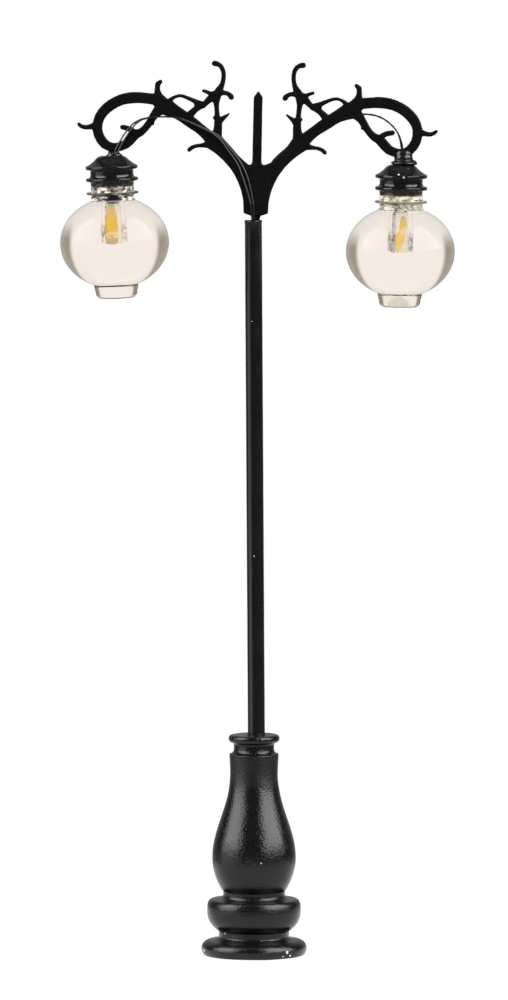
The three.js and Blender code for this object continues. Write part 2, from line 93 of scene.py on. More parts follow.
# Base
SOCKET_FLOOR = 14.2
RECESS_RADIUS = 2.2
RECESS_DEPTH = 0.8
CHANNEL_RADIUS = 0.7
FOOT_FLAT_RADIUS = 5.5
COLLAR_PAINT_RADIUS = 1.35
FIT_GAP = 0.04

# Pole
POLE_FOOT = Vector((0.32, 0.0, SOCKET_FLOOR))
POLE_LEAN = math.radians(-0.34)
POLE_LENGTH = 66.4
POLE_RADIUS = 0.935
POLE_BORE_RADIUS = 0.68

# Lamps, with heights above the globe's centre along the lamp's own axis
GLOBE_RADIUS = 5.93
GLOBE_HALF_HEIGHT = 5.0
STUB_RADIUS = 2.45
STUB_BOTTOM = -6.05
STUB_FLAT_RADIUS = 1.7
NECK_FILLET = 0.3
NECK_RADIUS = 2.35
RING_RADIUS = 2.84
RING_HEIGHTS = (8.2, 6.9, 5.42)
RING_HALF_HEIGHT = 0.18
RING_EDGE_HALF_HEIGHT = 0.1
RING_LACQUER = 0.06
COAT_BOTTOM = 6.14
COAT_INNER_RADIUS = 2.22
COAT_CEILING = 8.1
CAP_TOP = 9.47
CAP_TOP_RADIUS = 1.2
BORE_RADIUS = 0.95
BORE_TIP = -1.0
LACQUER_CLEAR_TO = 6.75
LAMP_TILT = {"left": math.radians(-2.2), "right": math.radians(0.7)}
SIDES = ("left", "right")


# ---- Frame ----


def load_frame():
    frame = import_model()
    return frame, [list(corner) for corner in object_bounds()]


def node_box(node):
    """The lowest and highest corners of a CAD node in millimetres."""
    low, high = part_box(node)
    return low / MM, high / MM


def lamp_matrix(side):
    """The lamp's own frame, in millimetres: its origin is the globe's centre."""
    low, high = node_box(f"globe_{side}")
    tilt = LAMP_TILT[side]
    drop = -STUB_BOTTOM * math.cos(tilt) + STUB_FLAT_RADIUS * math.sin(abs(tilt))
    centre = Vector(((low.x + high.x) / 2, 0.0, low.z + drop))
    return Matrix.Translation(centre) @ Matrix.Rotation(tilt, 4, "Y")


def pole_matrix():
    return Matrix.Translation(POLE_FOOT) @ Matrix.Rotation(POLE_LEAN, 4, "Y")


# ---- Camera and light ----


def make_camera():
    data = bpy.data.cameras.new("camera")
    data.sensor_width = SENSOR
    data.lens = SENSOR * CAMERA_DISTANCE / FRAME_HEIGHT
    data.clip_start = 0.05
    data.clip_end = 20.0
    camera = bpy.data.objects.new("camera", data)
    aim = Vector((0.0, 0.0, AIM_HEIGHT))
    back = Vector((0.0, -math.cos(CAMERA_ELEVATION), math.sin(CAMERA_ELEVATION)))
    camera.location = (aim + back * CAMERA_DISTANCE) * MM
    camera.rotation_euler = (math.radians(90) - CAMERA_ELEVATION, 0.0, 0.0)
    bpy.context.scene.collection.objects.link(camera)
    bpy.context.scene.camera = camera


class Nodes:
    """Short calls for building a node tree."""

    def __init__(self, tree):
        self.tree = tree
        tree.nodes.clear()

    def add(self, kind, inputs=None, **properties):
        """A node of that kind. inputs holds its sockets' values or the sockets they are linked to."""
        node = self.tree.nodes.new(kind)
        for name, value in properties.items():
            setattr(node, name, value)
        for name, value in (inputs or {}).items():
            self.put(node.inputs[name], value)
        return node

    def put(self, socket, value):
        if isinstance(value, bpy.types.NodeSocket):
            self.tree.links.new(value, socket)
        else:
            socket.default_value = value

    def math(self, operation, *values):
        node = self.add("ShaderNodeMath", operation=operation)
        for socket, value in zip(node.inputs, values):
            self.put(socket, value)
        return node.outputs[0]

    def product(self, first, *others):
        """All the values multiplied together."""
        for value in others:
            first = self.math("MULTIPLY", first, value)
        return first

    def greatest(self, first, *others):
        for value in others:
            first = self.math("MAXIMUM", first, value)
        return first

    def ramp(self, value, low, high, out_low=0.0, out_high=1.0):
        """A smooth change from out_low to out_high as the value goes from low to high."""
        inputs = {"Value": value, "From Min": low, "From Max": high, "To Min": out_low, "To Max": out_high}
        node = self.add("ShaderNodeMapRange", inputs, interpolation_type="SMOOTHSTEP")
        return node.outputs["Result"]

    def mix(self, factor, a, b):
        """A mix of two colours."""
        node = self.add("ShaderNodeMix", data_type="RGBA")
        self.put(node.inputs["Factor"], factor)
        self.put(node.inputs[6], a)
        self.put(node.inputs[7], b)
        return node.outputs[2]

    def noise(self, vector, scale, detail=3.0, roughness=0.55):
        inputs = {"Vector": vector, "Scale": scale, "Detail": detail, "Roughness": roughness}
        return self.add("ShaderNodeTexNoise", inputs).outputs["Fac"]


WHITE = (1.0, 1.0, 1.0)
WARM = (1.0, 0.89, 0.73)
# The studio's lights: azimuths from the camera's side, right positive, elevations and the softness of their
# edges across and up, all in degrees. Then how bright they are on what they light, how bright they are seen
# through clear plastic, and their colour. The two differ so that windows don't show as patches in the globes.
SOFT_BOXES = (
    ("right_window", (30, 94), (8, 64), (3, 3), 6.5, 0.0, WHITE),
    ("left_window", (-98, -44), (8, 60), (8, 8), 6.0, 0.0, WHITE),
    ("left_sill", (-100, -52), (-12, 8), (6, 6), 1.3, 0.0, WHITE),
    ("front", (-42, 42), (-14, 60), (5, 12), 0.12, 0.95, WHITE),
    ("wall_right", (42, 94), (-14, 60), (5, 12), 0.12, 0.7, WHITE),
    ("wall_left", (-94, -42), (-14, 60), (5, 12), 0.12, 0.7, WHITE),
    ("flag_right", (94, 138), (-14, 60), (5, 12), 0.12, 0.34, WARM),
    ("flag_left", (-138, -94), (-14, 60), (5, 12), 0.12, 0.34, WARM),
    ("backdrop_right", (138, 200), (-14, 60), (5, 12), 0.3, 0.95, WHITE),
    ("backdrop_left", (-200, -138), (-14, 60), (5, 12), 0.3, 0.95, WHITE),
    ("ceiling", (-200, 200), (60, 100), (5, 12), 0.32, 0.7, WHITE),
    ("ground", (-200, 200), (-100, -14), (5, 12), 0.55, 0.92, WHITE),
)


def make_studio():
    """White to the camera, and a small studio to everything that reflects, refracts or is lit."""
    world = bpy.data.worlds.new("studio")
    world.use_nodes = True
    bpy.context.scene.world = world
    nodes = Nodes(world.node_tree)
    direction = nodes.add("ShaderNodeTexCoord").outputs["Generated"]
    x, y, z = nodes.add("ShaderNodeSeparateXYZ", inputs={"Vector": direction}).outputs
    to_degrees = 180 / math.pi
    front = nodes.product(y, -1.0)
    azimuth = nodes.product(nodes.math("ARCTAN2", x, front), to_degrees)
    elevation = nodes.product(nodes.math("ARCSINE", z), to_degrees)
    ray = nodes.add("ShaderNodeLightPath").outputs
    light = (0.0, 0.0, 0.0)
    for _, across, up, soft, lit, through, colour in SOFT_BOXES:
        mask = nodes.ramp(ray["Is Transmission Ray"], 0.0, 1.0, lit, through)
        for value, (low, high), edge in ((azimuth, across, soft[0]), (elevation, up, soft[1])):
            risen = nodes.ramp(value, low - edge, low + edge)
            fallen = nodes.ramp(value, high - edge, high + edge, 1.0, 0.0)
            mask = nodes.product(mask, risen, fallen)
        added = nodes.add("ShaderNodeVectorMath", operation="MULTIPLY_ADD")
        for socket, value in zip(added.inputs, (colour, mask, light)):
            nodes.put(socket, value)
        light = added.outputs["Vector"]
    studio = nodes.add("ShaderNodeBackground", inputs={"Color": light})
    white = nodes.add("ShaderNodeBackground", inputs={"Color": (*WHITE, 1.0)})
    shown = nodes.add("ShaderNodeMixShader", inputs={"Fac": ray["Is Camera Ray"]})
    nodes.put(shown.inputs[1], studio.outputs[0])
    nodes.put(shown.inputs[2], white.outputs[0])
    nodes.add("ShaderNodeOutputWorld", inputs={"Surface": shown.outputs[0]})
    bpy.context.scene.view_settings.view_transform = "Standard"


FLOOR_RADIUS = 60.0
FLOOR_COLOUR = (0.04, 0.04, 0.04, 1.0)
FLOOR_GLOW = 0.98


def make_floor():
    """A round white board that the lamp stands on, bright enough to run into the backdrop."""
    steps = [2 * math.pi * i / ROUND_SEGMENTS for i in range(ROUND_SEGMENTS)]
    corners = [(FLOOR_RADIUS * MM * math.cos(a), FLOOR_RADIUS * MM * math.sin(a), 0.0) for a in steps]
    mesh = bpy.data.meshes.new("floor")
    mesh.from_pydata(corners, [], [list(range(ROUND_SEGMENTS))])
    floor = bpy.data.objects.new("floor", mesh)
    bpy.context.scene.collection.objects.link(floor)
    material = bpy.data.materials.new("floor_white")
    material.use_nodes = True
    nodes = Nodes(material.node_tree)
    finish = {"Base Color": FLOOR_COLOUR, "Roughness": 0.9, "Specular IOR Level": 0.0}
    glow = {"Emission Color": (*WHITE, 1.0), "Emission Strength": FLOOR_GLOW}
    shader = nodes.add("ShaderNodeBsdfPrincipled", {**finish, **glow})
    nodes.add("ShaderNodeOutputMaterial", inputs={"Surface": shader.outputs[0]})
    mesh.materials.append(material)


# ---- Materials ----


def new_material(name):
    """A material, its nodes, the place on the piece in metres and a Principled shader to set up."""
    material = bpy.data.materials.new(name)
    material.use_nodes = True
    nodes = Nodes(material.node_tree)
    place = nodes.add("ShaderNodeTexCoord").outputs["Object"]
    shader = nodes.add("ShaderNodeBsdfPrincipled")
    nodes.add("ShaderNodeOutputMaterial", inputs={"Surface": shader.outputs[0]})
    return material, nodes, place, shader


def bump(nodes, shader, height, depth):
    """Raises the surface by a height of 0 to 1 times depth, which is in millimetres."""
    node = nodes.add("ShaderNodeBump", inputs={"Height": height, "Distance": depth * MM})
    nodes.put(shader.inputs["Normal"], node.outputs["Normal"])


def spots(nodes, place, where, ragged=0.9):
    """A mask that is 1 in ragged spots: where holds each one's centre and radius in millimetres."""
    total = 0.0
    rough = nodes.noise(place, 9.0 / MM, 2.0, 0.7)
    for centre, radius in where:
        offset = nodes.add("ShaderNodeVectorMath", operation="DISTANCE")
        nodes.put(offset.inputs[0], place)
        nodes.put(offset.inputs[1], [value * MM for value in centre])
        spread = nodes.math("MULTIPLY_ADD", rough, ragged * 2 * radius * MM, -ragged * radius * MM)
        distance = nodes.math("ADD", offset.outputs["Value"], spread)
        mask = nodes.ramp(distance, radius * MM * 0.8, radius * MM * 1.1, 1.0, 0.0)
        total = nodes.greatest(total, mask)
    return total


def lamp_along(nodes, place, matrix, direction):
    """The distance in millimetres from the globe's centre along a direction in the lamp's own frame."""
    axis = matrix.to_3x3() @ Vector(direction)
    dot = nodes.add("ShaderNodeVectorMath", operation="DOT_PRODUCT")
    nodes.put(dot.inputs[0], place)
    nodes.put(dot.inputs[1], axis / MM)
    return nodes.math("SUBTRACT", dot.outputs["Value"], axis.dot(matrix.translation))


def lamp_height(nodes, place, matrix):
    return lamp_along(nodes, place, matrix, (0.0, 0.0, 1.0))


# The colour of real paint chips, also used for painted glints on the caps and hangers.
CHIP_AND_GLINT_COLOUR = (0.62, 0.61, 0.58, 1.0)
CHIP_ROUGHNESS = 0.7


def paint(name, dark, light, roughness, grain, grain_depth, specular, chips=(), dull=None):
    """Black paint with grain of a size in millimetres, slow changes of tone and gloss, and pale chips.

    dull gives the heights where the gloss is lost, gone, still gone and back, and the roughness between.
    """
    material, nodes, place, shader = new_material(name)
    fine = nodes.noise(place, 1.0 / (grain * MM), 2.0)
    slow = nodes.noise(place, 0.35 / MM, 2.0)
    colour = nodes.mix(nodes.ramp(fine, 0.25, 0.75), (*dark, 1.0), (*light, 1.0))
    gloss = nodes.ramp(slow, 0.3, 0.7, roughness - 0.05, roughness + 0.05)
    if dull:
        *heights, most = dull
        height = nodes.add("ShaderNodeSeparateXYZ", inputs={"Vector": place}).outputs["Z"]
        lost, gone, still, back = [value * MM for value in heights]
        band = nodes.product(nodes.ramp(height, lost, gone), nodes.ramp(height, still, back, most, 0.0))
        gloss = nodes.greatest(gloss, band)
    if chips:
        mask = spots(nodes, place, chips)
        colour = nodes.mix(mask, colour, CHIP_AND_GLINT_COLOUR)
        gloss = nodes.greatest(gloss, nodes.product(mask, CHIP_ROUGHNESS))
    nodes.put(shader.inputs["Base Color"], colour)
    nodes.put(shader.inputs["Roughness"], gloss)
    shader.inputs["Specular IOR Level"].default_value = specular
    bump(nodes, shader, fine, grain_depth)
    return material


BASE_SPECKS = (
    ((0.77, -4.5, 10.55), 0.07),
    ((-1.1, -3.75, 6.45), 0.07),
    ((-3.2, -2.2, 2.55), 0.1),
    ((0.0, -5.9, 0.95), 0.08),
    ((3.55, -4.4, 0.75), 0.2),
    ((3.95, -4.1, 0.35), 0.12),
    ((3.2, -4.75, 0.3), 0.1),
    ((-5.5, -1.9, 0.65), 0.16),
)
POLE_SPECKS = (
    ((-0.25, -0.9, 69.6), 0.06),
    ((0.0, -0.92, 43.9), 0.05),
)
# Painted glints on the caps and hangers, pale spots where their lacquer catches light, in the lamp's own
# frame.
CAP_PAINTED_GLINTS = {
    "left": (((-0.49, -0.45, 9.78), 0.12), ((0.22, -0.4, 9.66), 0.08)),
    "right": (((-0.33, -2.4, 8.47), 0.14), ((0.22, -2.75, 8.22), 0.12), ((0.38, -2.55, 8.03), 0.14)),
}


# Each neck holds glue, and its outside is painted with streaks: pale ones of glue and glowing painted light,
# dark ones of glue and painted shade, standing in for the glue and for light refracted through the neck. Then
# the pale and the dark colour, how streaky it must be to be dark, and where dark glue is pooled, as the
# middle's x, the half width and how much there is.
NECKS = {
    "left": ((0.97, 0.9, 0.82, 1.0), (0.022, 0.016, 0.014, 1.0), 0.53, (0.1, 0.95, 1.0)),
    "right": ((0.69, 0.66, 0.48, 1.0), (0.12, 0.11, 0.07, 1.0), 0.55, (0.0, 0.6, 0.0)),
}
# The pale streaks' glow is painted light, standing in for light refracted through the neck.
NECK_PAINTED_LIGHT = 0.3
ACRYLIC_IOR = 1.49
GATE_COLOUR = (0.72, 0.64, 0.48, 1.0)
GATE_ROUGHNESS = 0.55
GATE_MARKS = {"left": (), "right": (((-0.1, -1.7, -5.8), 1.25), ((-0.75, -1.9, -5.75), 0.7))}


def glue_pool(nodes, across, height, streaks, pool):
    """Dark glue run together in the middle of the neck, thinner above its ring."""
    middle, half_width, amount = pool
    from_middle = nodes.math("ABSOLUTE", nodes.math("SUBTRACT", across, middle))
    ragged = nodes.math("ADD", from_middle, nodes.ramp(streaks, 0.35, 0.65, 0.45, -0.45))
    pooled = nodes.ramp(ragged, half_width - 0.3, half_width + 0.25, amount, 0.0)
    return nodes.product(pooled, nodes.ramp(height, 5.2, 5.6, 1.0, 0.5))


def shade_under_ring(nodes, height, streaks):
    """Painted shade, a broken dark line along the ring's lower edge."""
    ring_foot = RING_HEIGHTS[2] - RING_EDGE_HALF_HEIGHT
    away = nodes.math("ABSOLUTE", nodes.math("SUBTRACT", height, ring_foot))
    return nodes.product(nodes.ramp(away, 0.05, 0.12, 1.0, 0.0), nodes.ramp(streaks, 0.42, 0.5))


def shade_on_ring_edge(nodes, across, deep, height, streaks):
    """Painted shade in the ring's rim, beyond the neck's own radius."""
    squared = nodes.math("ADD", nodes.product(across, across), nodes.product(deep, deep))
    beyond_neck = nodes.ramp(nodes.math("SQRT", squared), 2.45, 2.6, 0.0, 0.9)
    return nodes.product(beyond_neck, nodes.ramp(streaks, 0.3, 0.4), nodes.ramp(height, 4.9, 5.1))


def neck_streaks_light_and_shade(nodes, place, matrix, least, pool):
    """Where the neck is painted pale, with glue and glowing painted light, and where dark, with glue and
    painted shade.
    """
    height = lamp_height(nodes, place, matrix)
    across = lamp_along(nodes, place, matrix, (1.0, 0.0, 0.0))
    deep = lamp_along(nodes, place, matrix, (0.0, 1.0, 0.0))
    stretched = nodes.add("ShaderNodeMapping", inputs={"Vector": place, "Scale": (1.0, 1.0, 2.2)})
    streaks = nodes.noise(stretched.outputs[0], 1.2 / MM, 5.0, 0.75)
    dark = nodes.greatest(
        nodes.ramp(streaks, least, least + 0.03),
        glue_pool(nodes, across, height, streaks, pool),
        shade_under_ring(nodes, height, streaks),
        shade_on_ring_edge(nodes, across, deep, height, streaks),
    )
    pale = nodes.ramp(streaks, least - 0.1, least - 0.04, 0.85, 0.1)
    pale = nodes.product(pale, nodes.math("SUBTRACT", 1.0, dark))
    on_neck = nodes.product(nodes.ramp(height, 4.5, 4.75), nodes.ramp(height, 6.1, 6.4, 1.0, 0.3))
    return nodes.product(on_neck, pale), nodes.product(on_neck, dark)


def lamp_spots(nodes, place, matrix, where, ragged=0.9):
    """Spots whose centres are in the lamp's own frame."""
    return spots(nodes, place, [(tuple(matrix @ Vector(centre)), radius) for centre, radius in where], ragged)


def clear_plastic(name, matrix, neck, gates):
    """Polished moulded acrylic with a faint warm tint, a frosted gate mark, and a neck painted with streaks
    of glue, glowing painted light and painted shade.
    """
    material, nodes, place, shader = new_material(name)
    slow = nodes.noise(place, 0.4 / MM, 2.0)
    colour = nodes.mix(slow, (0.94, 0.86, 0.78, 1.0), (0.965, 0.895, 0.825, 1.0))
    gloss = nodes.ramp(slow, 0.3, 0.8, 0.02, 0.05)
    if gates:
        gate = lamp_spots(nodes, place, matrix, gates, 0.5)
        colour = nodes.mix(gate, colour, GATE_COLOUR)
        gloss = nodes.greatest(gloss, nodes.product(gate, GATE_ROUGHNESS))
    pale_glue_and_light, dark_glue_and_shade, least, pool = neck
    pale, dark = neck_streaks_light_and_shade(nodes, place, matrix, least, pool)
    # Pale streaks of glue and painted light, then dark streaks of glue and painted shade, on the neck's
    # outside.
    colour = nodes.mix(pale, colour, pale_glue_and_light)
    nodes.put(shader.inputs["Base Color"], nodes.mix(dark, colour, dark_glue_and_shade))
    solid = nodes.greatest(pale, dark)
    nodes.put(shader.inputs["Transmission Weight"], nodes.math("SUBTRACT", 1.0, solid))
    # The pale streaks glow: painted light standing in for light refracted through the neck.
    nodes.put(shader.inputs["Emission Strength"], nodes.product(pale, NECK_PAINTED_LIGHT))
    shader.inputs["Emission Color"].default_value = pale_glue_and_light
    nodes.put(shader.inputs["Roughness"], gloss)
    shader.inputs["IOR"].default_value = ACRYLIC_IOR
    shader.inputs["Specular Tint"].default_value = (0.15, 0.15, 0.15, 1.0)
    bump(nodes, shader, nodes.noise(place, 0.7 / MM, 1.0), 0.012)
    return material


def wetted_bore(name, matrix):
    """The bore's wall where clear potting resin wets it: all but gone, with painted grey shade at both sides,
    where the wall is seen edge-on from the front, streaky near its foot.
    """
    material, nodes, place, shader = new_material(name)
    height = lamp_height(nodes, place, matrix)
    aside = nodes.math("ABSOLUTE", lamp_along(nodes, place, matrix, (1.0, 0.0, 0.0)))
    fine = nodes.noise(place, 2.6 / MM, 5.0, 0.8)
    by_foot = nodes.product(nodes.ramp(height, 0.7, 1.4, 1.0, 0.0), nodes.ramp(height, -0.1, 0.1))
    # Painted shade: grey streaks at both sides of the bore near its foot, where its wall is seen edge-on from
    # the front.
    streaky_side_shade = nodes.product(nodes.ramp(fine, 0.47, 0.56), nodes.ramp(aside, 0.5, 0.75), by_foot, 0.7)
    # Painted shade: a faint grey edge at both sides of the bore, where its wall is seen edge-on from the
    # front.
    wall = nodes.product(nodes.ramp(aside, 0.85, 0.95, 0.0, 0.12), nodes.ramp(height, -0.4, 0.1))
    shader.inputs["Base Color"].default_value = (0.34, 0.33, 0.29, 1.0)
    shader.inputs["Roughness"].default_value = 0.4
    nodes.put(shader.inputs["Alpha"], nodes.greatest(wall, streaky_side_shade))
    return material


# The lacquer where it covers and where it runs out, and the depth of its waves in millimetres.
LACQUER_DARK = (0.003, 0.003, 0.0026, 1.0)
LACQUER_LIGHT = (0.006, 0.006, 0.005, 1.0)
LACQUER_THIN = (0.04, 0.028, 0.018, 1.0)
CAP_WAVES = 0.06
BEAD_WAVES = 0.01


def cap_lacquer(name, matrix, painted_glints, waves):
    """Glossy black lacquer, wavy, and torn and see-through at its foot, with pale painted glints."""
    material, nodes, place, shader = new_material(name)
    fine = nodes.noise(place, 2.2 / MM, 3.0, 0.6)
    height = lamp_height(nodes, place, matrix)
    torn = nodes.math("ADD", height, nodes.ramp(fine, 0.3, 0.7, -0.25, 0.25))
    cover = nodes.ramp(torn, 6.3, 6.8)
    colour = nodes.mix(cover, LACQUER_THIN, nodes.mix(fine, LACQUER_DARK, LACQUER_LIGHT))
    # Painted glints: pale spots on the lacquer.
    mask = lamp_spots(nodes, place, matrix, painted_glints)
    nodes.put(shader.inputs["Base Color"], nodes.mix(mask, colour, CHIP_AND_GLINT_COLOUR))
    nodes.put(shader.inputs["Roughness"], nodes.ramp(fine, 0.3, 0.7, 0.08, 0.16))
    nodes.put(shader.inputs["Alpha"], nodes.ramp(torn, 6.05, 6.5, 0.3, 1.0))
    shader.inputs["Specular IOR Level"].default_value = 0.42
    bump(nodes, shader, nodes.noise(place, 1.4 / MM, 2.0), waves)
    return material


# The small parts' grain, its size and depth in millimetres, and how far their tone varies.
SMALL_GRAIN = 0.2
SMALL_GRAIN_DEPTH = 0.004
SMALL_VARIATION = 0.12


def plain(name, colour, roughness, metallic=0.0, specular=0.5):
    """A small part's finish, with a little grain and variation of tone."""
    material, nodes, place, shader = new_material(name)
    fine = nodes.noise(place, 1.0 / (SMALL_GRAIN * MM), 3.0)
    darker = tuple(value * (1 - SMALL_VARIATION) for value in colour)
    lighter = tuple(min(1.0, value * (1 + SMALL_VARIATION)) for value in colour)
    nodes.put(shader.inputs["Base Color"], nodes.mix(fine, (*darker, 1.0), (*lighter, 1.0)))
    nodes.put(shader.inputs["Roughness"], nodes.ramp(fine, 0.2, 0.8, roughness * 0.8, roughness * 1.2))
    shader.inputs["Metallic"].default_value = metallic
    shader.inputs["Specular IOR Level"].default_value = specular
    bump(nodes, shader, fine, SMALL_GRAIN_DEPTH)
    return material


# The glue in each neck: its two colours, and how much of it is there.
NECK_GLUES = {
    "left": ((0.055, 0.04, 0.036, 1.0), (0.02, 0.014, 0.012, 1.0), 1.0),
    "right": ((0.8, 0.78, 0.62, 1.0), (0.4, 0.38, 0.27, 1.0), 0.8),
}


def neck_glue(name, glue):
    """Glue that has set in streaks, thinner between them."""
    material, nodes, place, shader = new_material(name)
    stretched = nodes.add("ShaderNodeMapping", inputs={"Vector": place, "Scale": (0.8, 0.8, 2.4)})
    streaks = nodes.noise(stretched.outputs[0], 1.6 / MM, 4.0, 0.7)
    light, dark, cover = glue
    nodes.put(shader.inputs["Base Color"], nodes.mix(nodes.ramp(streaks, 0.4, 0.65), light, dark))
    nodes.put(shader.inputs["Alpha"], nodes.ramp(streaks, 0.3, 0.45, cover * 0.7, cover))
    shader.inputs["Roughness"].default_value = 0.3
    return material


# A painted highlight on each phosphor, its height and half height above the globe's centre, and its colours
# from the foot up.
PHOSPHORS = {
    "left": ((0.5, 0.2), (0.56, 0.47, 0.26, 1.0), (0.86, 0.55, 0.075, 1.0), (0.8, 0.58, 0.3, 1.0)),
    "right": ((1.35, 0.3), (0.82, 0.66, 0.3, 1.0), (0.85, 0.62, 0.17, 1.0), (0.76, 0.55, 0.22, 1.0)),
}
# The phosphor's glow is painted light, standing in for light scattered in the moulding.
PHOSPHOR_PAINTED_LIGHT = 0.22


def phosphor(name, matrix, painted_highlight, foot, middle, top):
    """Silicone full of yellow phosphor: orange at the top, yellow below, fading to a pale speckled foot, with
    a painted highlight and a glow of painted light.
    """
    material, nodes, place, shader = new_material(name)
    height = lamp_height(nodes, place, matrix)
    fine = nodes.noise(place, 6.0 / MM, 3.0)
    patch = nodes.math("ADD", height, nodes.ramp(fine, 0.3, 0.7, -0.2, 0.2))
    colour = nodes.mix(nodes.ramp(patch, 0.1, 0.6), foot, middle)
    colour = nodes.mix(nodes.ramp(patch, 1.5, 2.6), colour, top)
    # The painted highlight.
    away = nodes.math("ABSOLUTE", nodes.math("SUBTRACT", patch, painted_highlight[0]))
    colour = nodes.mix(nodes.ramp(away, 0.0, painted_highlight[1], 0.8, 0.0), colour, (0.98, 0.78, 0.56, 1.0))
    nodes.put(shader.inputs["Base Color"], colour)
    nodes.put(shader.inputs["Emission Color"], colour)
    shader.inputs["Emission Strength"].default_value = PHOSPHOR_PAINTED_LIGHT
    shader.inputs["Roughness"].default_value = 0.35
    bump(nodes, shader, fine, 0.02)
    return material


# Each diode package's colour, and the colour of the edge that is seen at its left.
LED_TONES = {
    "left": ((0.84, 0.79, 0.68, 1.0), (0.78, 0.74, 0.56, 1.0)),
    "right": ((0.82, 0.78, 0.7, 1.0), (0.58, 0.54, 0.54, 1.0)),
}
LED_GLOW = 0.3


def led_body(name, matrix, colour, edge_colour):
    """The diode's pale package, specked at its left edge. Its glow stands in for light from the moulding."""
    material, nodes, place, shader = new_material(name)
    fine = nodes.noise(place, 5.0 / MM, 3.0)
    across = lamp_along(nodes, place, matrix, (1.0, 0.0, 0.0))
    ragged = nodes.math("ADD", across, nodes.ramp(fine, 0.3, 0.7, -0.06, 0.06))
    edge = nodes.ramp(ragged, -0.42, -0.36, 1.0, 0.0)
    tone = nodes.mix(edge, colour, edge_colour)
    speck = nodes.product(edge, nodes.ramp(fine, 0.54, 0.6))
    tone = nodes.mix(speck, tone, (0.12, 0.11, 0.1, 1.0))
    nodes.put(shader.inputs["Base Color"], tone)
    nodes.put(shader.inputs["Emission Color"], tone)
    shader.inputs["Emission Strength"].default_value = LED_GLOW
    shader.inputs["Roughness"].default_value = 0.4
    return material


def make_materials():
    return {
        "base_paint": paint(
            "base_paint",
            dark=(0.0025, 0.0025, 0.0025),
            light=(0.005, 0.005, 0.005),
            roughness=0.12,
            grain=0.22,
            grain_depth=0.045,
            specular=0.36,
            chips=BASE_SPECKS,
            dull=(17.0, 19.5, 22.0, 22.3, 0.36),
        ),
        "pole_paint": paint(
            "pole_paint",
            dark=(0.003, 0.003, 0.0032),
            light=(0.005, 0.005, 0.0052),
            roughness=0.15,
            grain=0.3,
            grain_depth=0.01,
            specular=0.4,
            chips=POLE_SPECKS,
        ),
        "bracket_black": paint(
            "bracket_black",
            dark=(0.0015, 0.0015, 0.0015),
            light=(0.0035, 0.0035, 0.0036),
            roughness=0.5,
            grain=0.25,
            grain_depth=0.03,
            specular=0.08,
        ),
        "neck_lacquer": plain("neck_lacquer", (0.008, 0.005, 0.003), roughness=0.3),
        "terminal_metal": plain("terminal_metal", (0.75, 0.56, 0.24), roughness=0.3, metallic=1.0),
        "solder": plain("solder", (0.72, 0.73, 0.74), roughness=0.22, metallic=1.0),
        "lead_enamel": plain("lead_enamel", (0.008, 0.007, 0.006), roughness=0.25, specular=0.3),
    }


def lamp_materials(materials, side, matrix):
    """The materials that depend on where a lamp is, beside the shared ones."""
    own = {
        "clear_globe": clear_plastic(f"clear_globe_{side}", matrix, NECKS[side], GATE_MARKS[side]),
        "cap_black": cap_lacquer(f"cap_black_{side}", matrix, CAP_PAINTED_GLINTS[side], CAP_WAVES),
        "bead_black": cap_lacquer(f"bead_black_{side}", matrix, CAP_PAINTED_GLINTS[side], BEAD_WAVES),
        "led_phosphor": phosphor(f"led_phosphor_{side}", matrix, *PHOSPHORS[side]),
        "bore_wetted": wetted_bore(f"bore_wetted_{side}", matrix),
        "neck_glue": neck_glue(f"neck_glue_{side}", NECK_GLUES[side]),
        "led_ceramic": led_body(f"led_ceramic_{side}", matrix, *LED_TONES[side]),
    }
    return {**materials, **own}


# ---- Shapes ----

# How corners are rounded: the steps round each, the angle from which one is sharp, the most of a side that a
# rounding takes, and how far past its ends the extra points lie, where 1 is the end itself.
CORNER_STEPS = 4
SHARP_CORNER = 0.35
MOST_OF_SIDE = 0.3
PAST_END = 1.4


class Outline:
    """A path of (radius, height) points, made of straight lines and Bezier curves."""

    def __init__(self, radius, height):
        self.points = [(radius, height)]

    def line(self, *places):
        self.points.extend(places)
        return self

    def curve(self, *places, steps=16):
        """A Bezier curve from the last point, through one or two control points, to the last place."""
        control = [Vector(place) for place in (self.points[-1], *places)]
        for i in range(1, steps + 1):
            level = control
            while len(level) > 1:
                level = [a.lerp(b, i / steps) for a, b in zip(level, level[1:])]
            self.points.append(tuple(level[0]))
        return self

    def rounded(self, size):
        """Rounds off each sharp corner over a length of size.

        A point beyond each end of the curve keeps the faces next to it flat when they are shaded.
        """
        points = [Vector(point) for point in self.points]
        result = [points[0]]
        for before, corner, after in zip(points, points[1:], points[2:]):
            inward, outward = corner - before, after - corner
            if min(inward.length, outward.length) < 1e-6 or inward.angle(outward) < SHARP_CORNER:
                result.append(corner)
                continue
            start = corner - inward.normalized() * min(size, inward.length * MOST_OF_SIDE)
            end = corner + outward.normalized() * min(size, outward.length * MOST_OF_SIDE)
            result.append(corner.lerp(start, PAST_END))
            for i in range(CORNER_STEPS + 1):
                t = i / CORNER_STEPS
                result.append(start.lerp(corner, t).lerp(corner.lerp(end, t), t))
            result.append(corner.lerp(end, PAST_END))
        result.append(points[-1])
        self.points = [tuple(point) for point in result]
        return self


def add_piece(name, vertices, faces, material, replaced=(), matrix=Matrix.Identity(4)):
    """A smooth mesh from millimetre vertices, placed by a matrix, riding on the root body."""
    mesh = bpy.data.meshes.new(name)
    mesh.from_pydata([(matrix @ Vector(v)) * MM for v in vertices], [], faces)
    mesh.polygons.foreach_set("use_smooth", [True] * len(mesh.polygons))
    mesh.materials.append(material)
    piece = bpy.data.objects.new(name, mesh)
    bpy.context.scene.collection.objects.link(piece)
    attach(piece, "root")
    if replaced:
        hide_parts(*replaced)
    return piece


